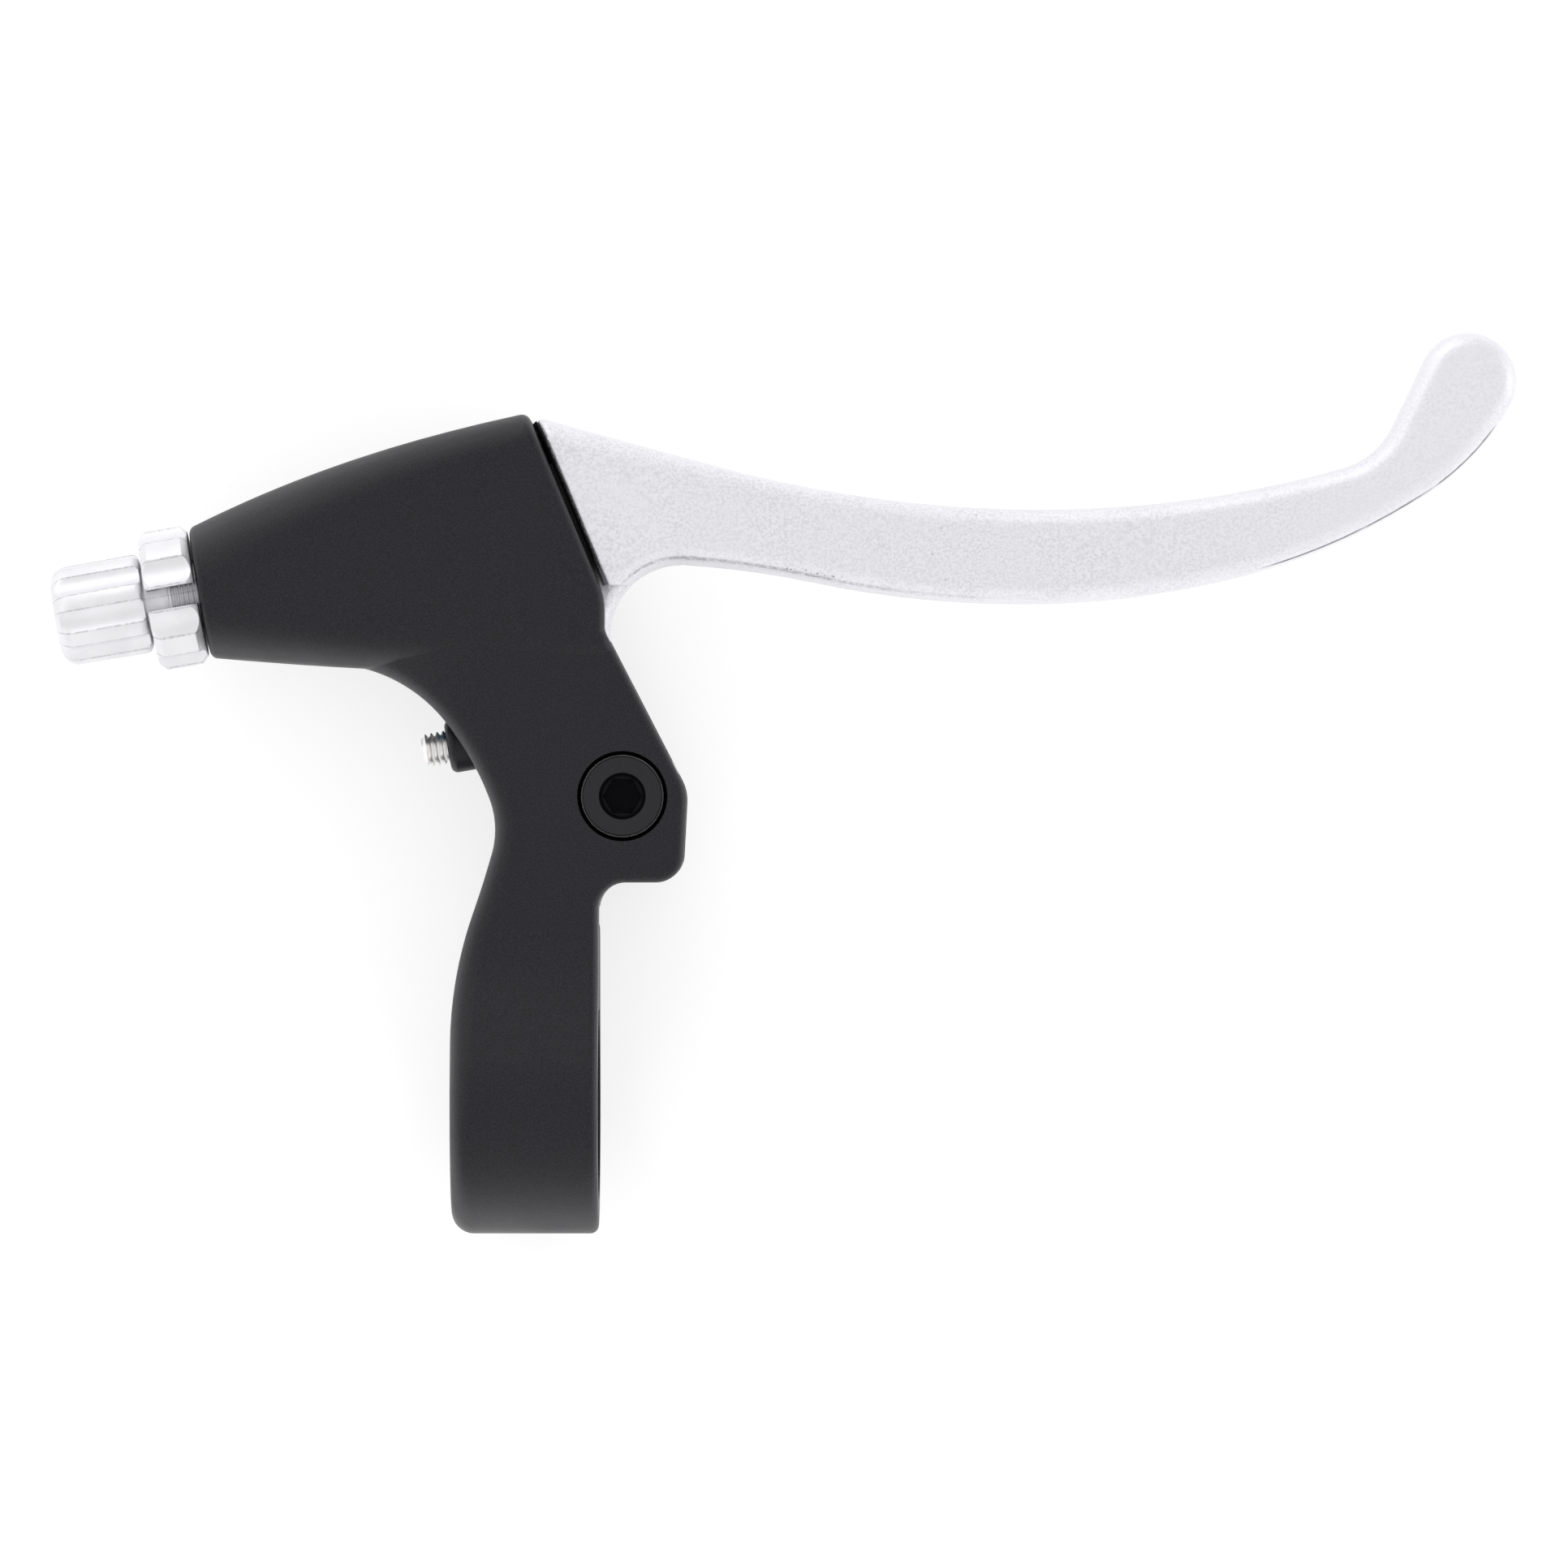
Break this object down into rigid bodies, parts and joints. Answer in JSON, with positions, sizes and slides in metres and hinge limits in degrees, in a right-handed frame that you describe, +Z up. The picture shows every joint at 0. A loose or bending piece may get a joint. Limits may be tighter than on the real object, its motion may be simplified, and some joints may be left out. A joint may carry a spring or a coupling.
{
  "type": "bicycle brake lever",
  "caption": "Brake lever for a straight handlebar: painted clamp bracket with a cable head, a curved aluminium blade on a pivot, a cable adjuster with lock nut and a reach screw.",
  "frame": {"origin": "centre of the handlebar bore of the clamp", "axes": "+X along the handlebar towards the tip of the blade, +Y forwards from the bar to the blade, +Z up along the pivot towards its bolt head"},
  "size_m": [0.1695, 0.1042, 0.03],
  "materials": {
    "black_paint": "cast, painted satin black",
    "tumbled_aluminium": "tumbled, pale and matt",
    "bush_plastic": "plain moulded",
    "black_steel": "black oxide",
    "bright_aluminium": "bright turned",
    "plain_steel": "zinc plated"
  },
  "bodies": {
    "bracket": {"bracket": "black_paint", "pivot_bolt": "black_steel", "pivot_nut": "black_steel", "clamp_bolt": "black_steel"},
    "lever": {"lever_blade": "tumbled_aluminium", "upper_bush": "bush_plastic", "lower_bush": "bush_plastic"},
    "adjuster": {"barrel_adjuster": "bright_aluminium"},
    "lock_nut": {"lock_nut": "bright_aluminium"},
    "reach_screw": {"reach_screw": "plain_steel"}
  },
  "joints": [
    {"name": "lever_pivot", "type": "hinge", "parent": "bracket", "child": "lever", "pos_m": [0.0113, 0.0356, 0], "axis": [0, 0, -1], "range_deg": [0, 32]},
    {"name": "adjuster_feed", "type": "slide", "parent": "bracket", "child": "adjuster", "axis": [-0.9848, -0.1736, 0], "range_m": [0, 0.006]},
    {"name": "lock_nut_turn", "type": "hinge", "parent": "bracket", "child": "lock_nut", "pos_m": [-0.03762, 0.05906, 0], "axis": [-0.9848, -0.1736, 0], "continuous": true},
    {"name": "reach_feed", "type": "slide", "parent": "bracket", "child": "reach_screw", "axis": [-0.9848, -0.1736, 0], "range_m": [0, 0.004]}
  ]
}
